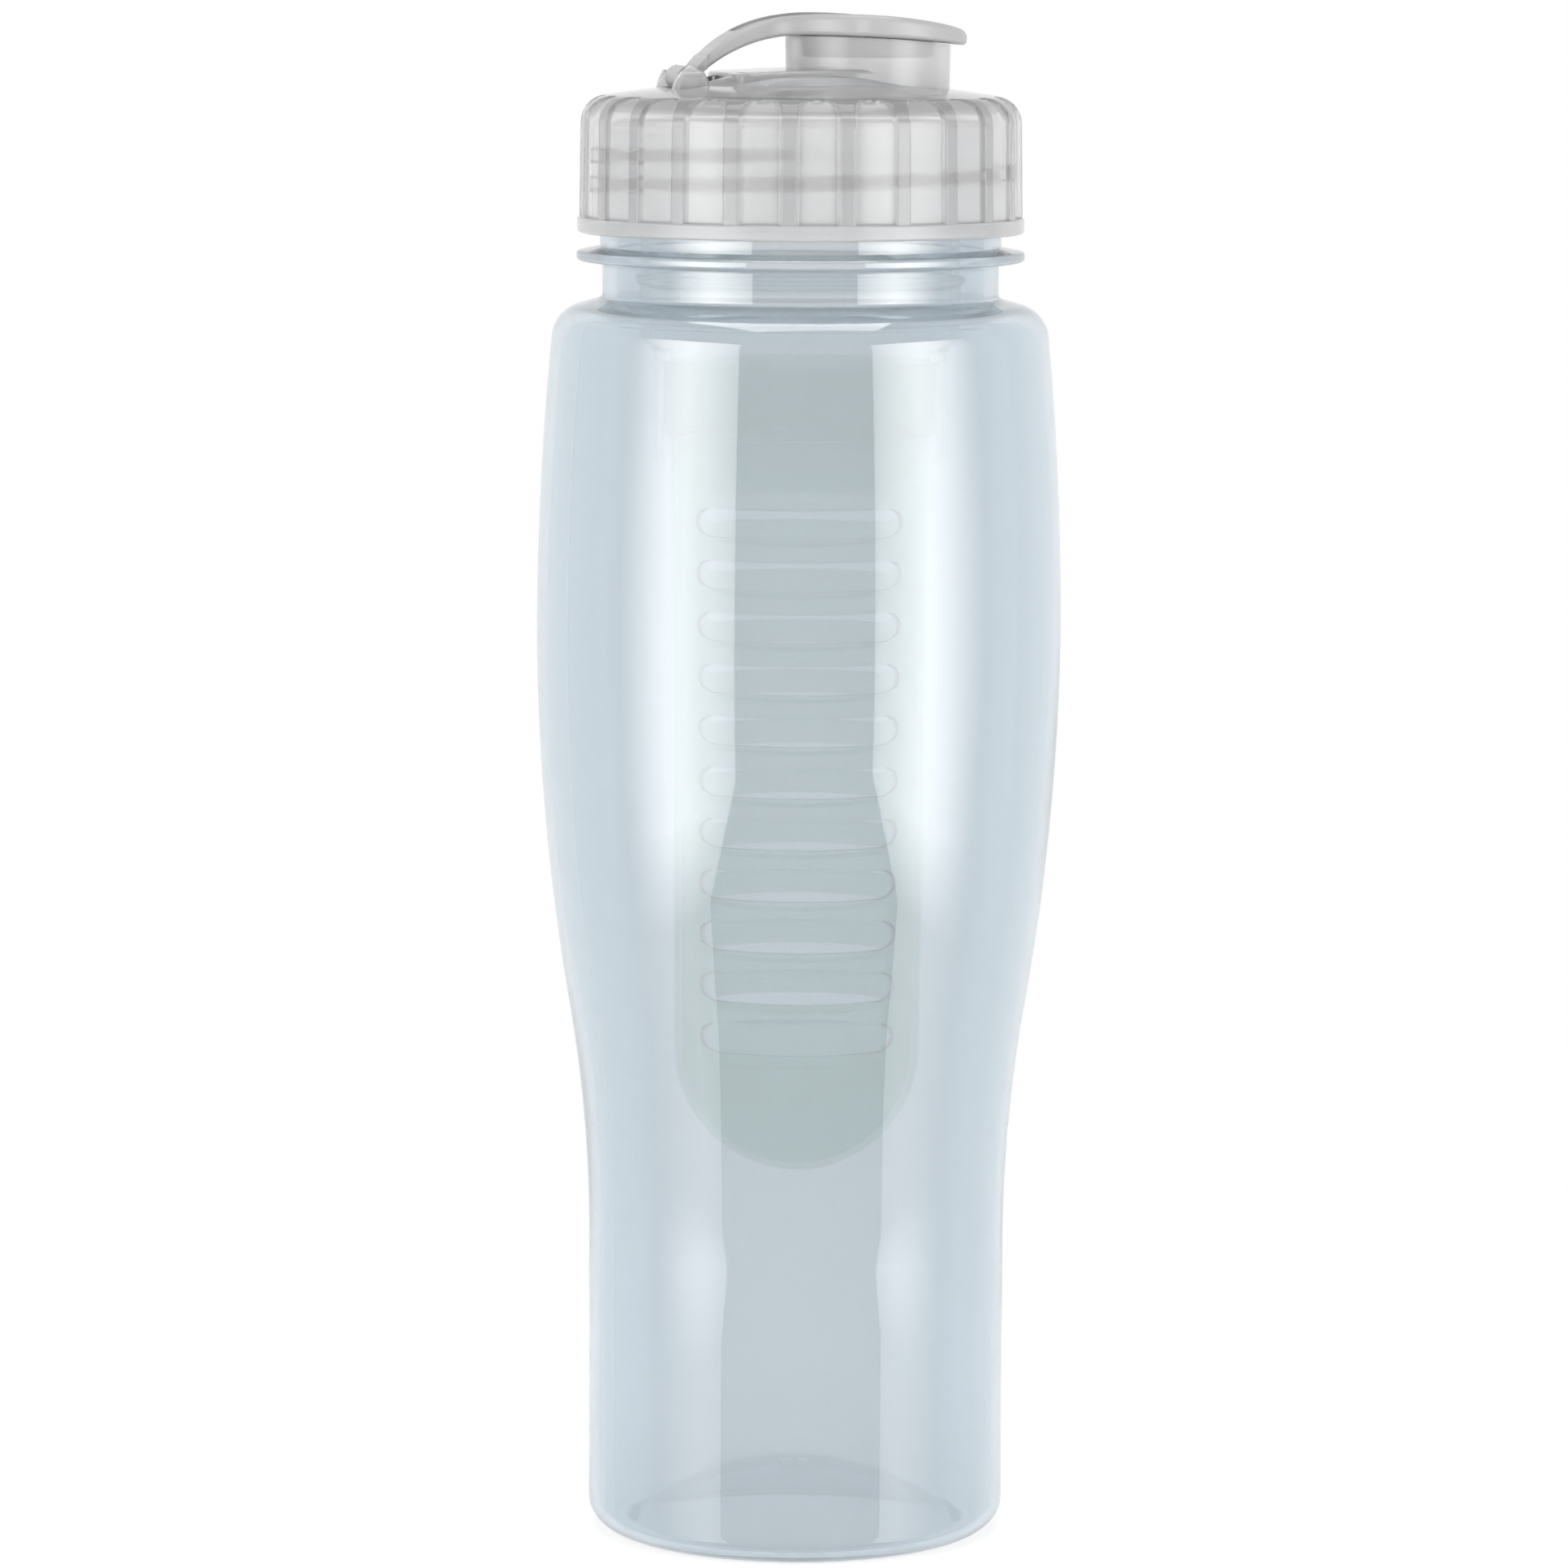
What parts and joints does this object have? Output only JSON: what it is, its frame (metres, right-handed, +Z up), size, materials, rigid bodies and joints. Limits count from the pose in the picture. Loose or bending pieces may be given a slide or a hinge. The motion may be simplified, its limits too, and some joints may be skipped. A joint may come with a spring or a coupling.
{
  "type": "fruit infuser water bottle",
  "caption": "Water bottle with a slotted fruit infuser basket in its neck and a ribbed screw cap with a spout under a flip lid.",
  "frame": {"origin": "centre of the base, on the table", "axes": "+Z up the bottle's axis, +X from the lid's hinge to the spout"},
  "size_m": [0.0808, 0.0808, 0.2348],
  "materials": {
    "bottle_body": "clear, faintly milky",
    "cap_gasket": "soft translucent silicone",
    "infuser_collar": "clear, faintly grey",
    "infuser_basket": "clear, faintly grey",
    "screw_cap": "translucent",
    "flip_lid": "translucent"
  },
  "bodies": {
    "bottle": {"bottle_body": "bottle_body"},
    "gasket": {"cap_gasket": "cap_gasket"},
    "collar": {"infuser_collar": "infuser_collar"},
    "basket": {"infuser_basket": "infuser_basket"},
    "cap": {"screw_cap": "screw_cap"},
    "lid": {"flip_lid": "flip_lid"}
  },
  "joints": [
    {"name": "cap_lift_off", "type": "slide", "parent": "bottle", "child": "gasket", "axis": [0, 0, 1], "range_m": [0, 0.17]},
    {"name": "cap_rise", "type": "slide", "parent": "gasket", "child": "collar", "axis": [0, 0, 1], "range_m": [0, 0.0053]},
    {"name": "cap_turn", "type": "hinge", "parent": "collar", "child": "cap", "pos_m": [0, 0, 0.2198], "axis": [0, 0, 1], "range_deg": [0, 450]},
    {"name": "lid_flip", "type": "hinge", "parent": "cap", "child": "lid", "pos_m": [-0.0184, 0, 0.2249], "axis": [0, -1, 0], "range_deg": [0, 135]},
    {"name": "basket_pull", "type": "slide", "parent": "collar", "child": "basket", "axis": [0, 0, -1], "range_m": [0, 0.044]}
  ],
  "couplings": [
    {"joint": "cap_rise", "follows": "cap_turn", "m_per_rad": 0.000673}
  ]
}
